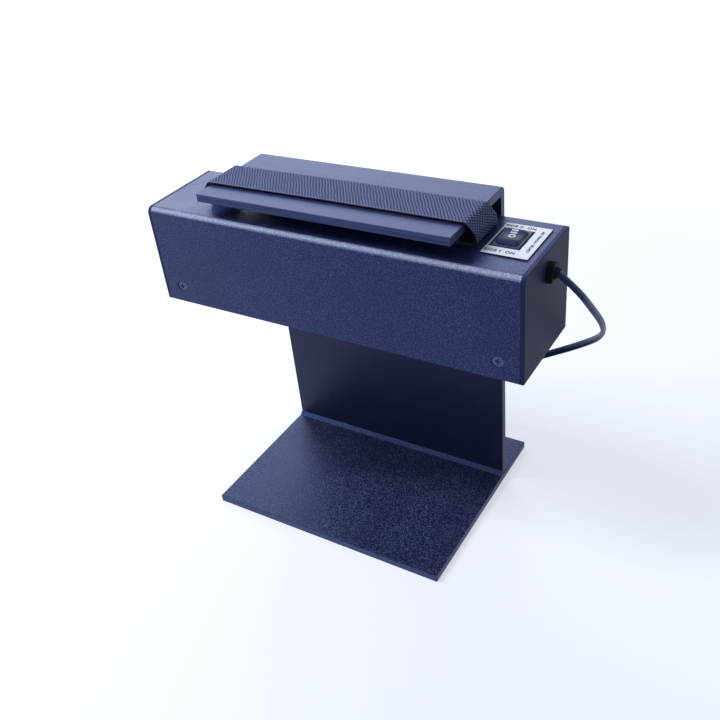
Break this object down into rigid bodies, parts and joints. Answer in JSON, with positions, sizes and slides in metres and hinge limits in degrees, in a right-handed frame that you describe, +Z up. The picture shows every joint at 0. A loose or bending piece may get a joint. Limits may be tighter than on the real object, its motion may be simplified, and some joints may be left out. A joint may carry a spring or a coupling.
{
  "type": "ultraviolet inspection lamp on stand",
  "caption": "Mains ultraviolet hand lamp in a long black box housing, hung by its elastic strap on a bent-sheet stand, with a rocker switch and flat cord.",
  "frame": {"origin": "on the floor, under the middle of the lamp housing and of the base plate's depth", "axes": "+X along the lamp to its cord end, +Y to the back where the upright stands, +Z up"},
  "size_m": [0.3283, 0.2499, 0.2591],
  "materials": {
    "stand_sheet": "smooth sawn black plastic sheet, pebble grain on the base",
    "cement": "dried solvent cement, greyish",
    "housing_plastic": "black plastic with a fine leather grain",
    "end_plastic": "smooth satin black plastic sheet",
    "black_screw": "blackened steel",
    "tray_aluminium": "satin folded sheet",
    "zinc_steel": "bright zinc plated",
    "filter_glass": "near-black violet ultraviolet filter glass",
    "uva_glass": "white phosphor behind glass",
    "uvc_glass": "clear quartz glass",
    "cap_aluminium": "bright drawn caps",
    "holder_plastic": "white moulded plastic",
    "reflector_aluminium": "polished sheet",
    "ballast_paint": "grey lacquered steel",
    "starter_can": "drawn aluminium can",
    "terminal_plastic": "cream moulded plastic",
    "brown_wire": "brown wire insulation",
    "blue_wire": "blue wire insulation",
    "switch_plastic": "semi-gloss black moulded plastic",
    "contact_brass": "stamped brass",
    "label_white": "white plate with small dark lettering",
    "strap_webbing": "black elastic webbing with diagonal ribs",
    "clamp_paint": "black painted steel bar",
    "cord_sheath": "smooth black flat cord",
    "bush_plastic": "black nylon",
    "plug_plastic": "black moulded plastic",
    "plug_brass": "nickelled brass pins"
  },
  "bodies": {
    "stand": {"base_plate": "stand_sheet", "stand_bracket": "stand_sheet", "weld_beads": "cement", "cord_coil": "cord_sheath", "coil_tie": "plug_plastic", "cord_tail": "cord_sheath", "plug_body": "plug_plastic", "plug_pins": "plug_brass"},
    "lamp": {"housing_cover": "housing_plastic", "end_plate_left": "end_plastic", "end_plate_right": "end_plastic", "cover_screws": "black_screw", "lamp_tray": "tray_aluminium", "tray_nuts": "zinc_steel", "filter_glass": "filter_glass", "filter_clips": "zinc_steel", "reflector": "reflector_aluminium", "gear_plate": "tray_aluminium", "gear_rivets": "cap_aluminium", "ballast": "ballast_paint", "ballast_screws": "zinc_steel", "terminal_block": "terminal_plastic", "mains_cores": "brown_wire", "switch_wires": "blue_wire", "tube_wires_left": "brown_wire", "tube_wires_right": "blue_wire", "uva_tube": "uva_glass", "uva_tube_caps": "cap_aluminium", "uva_holder_left": "holder_plastic", "uva_holder_right": "holder_plastic", "uva_starter": "starter_can", "uva_starter_socket": "holder_plastic", "uvc_tube": "uvc_glass", "uvc_tube_caps": "cap_aluminium", "uvc_holder_left": "holder_plastic", "uvc_holder_right": "holder_plastic", "uvc_starter": "starter_can", "uvc_starter_socket": "holder_plastic", "switch_body": "switch_plastic", "switch_terminals": "contact_brass", "label_plate": "label_white", "hand_strap": "strap_webbing", "strap_clamp_left": "clamp_paint", "strap_clamp_right": "clamp_paint", "strap_screws": "black_screw", "strap_nuts": "zinc_steel", "cord_bush": "bush_plastic", "cord_entry": "cord_sheath", "cord_lead": "cord_sheath"},
    "rocker": {"switch_rocker": "switch_plastic", "switch_plunger": "holder_plastic"},
    "contact": {"switch_contact": "contact_brass"}
  },
  "joints": [
    {"name": "lamp_slide", "type": "slide", "parent": "stand", "child": "lamp", "axis": [0, -1, 0], "range_m": [0, 0.045], "deforming": ["cord_lead"]},
    {"name": "rocker_tilt", "type": "hinge", "parent": "lamp", "child": "rocker", "pos_m": [0.1235, 0.006, 0.237], "axis": [1, 0, 0], "range_deg": [-10, 10]},
    {"name": "contact_rock", "type": "hinge", "parent": "lamp", "child": "contact", "pos_m": [0.1235, 0.006, 0.22513], "axis": [1, 0, 0], "range_deg": [-8, 8]}
  ],
  "couplings": [
    {"joint": "contact_rock", "follows": "rocker_tilt", "ratio": -0.8}
  ]
}
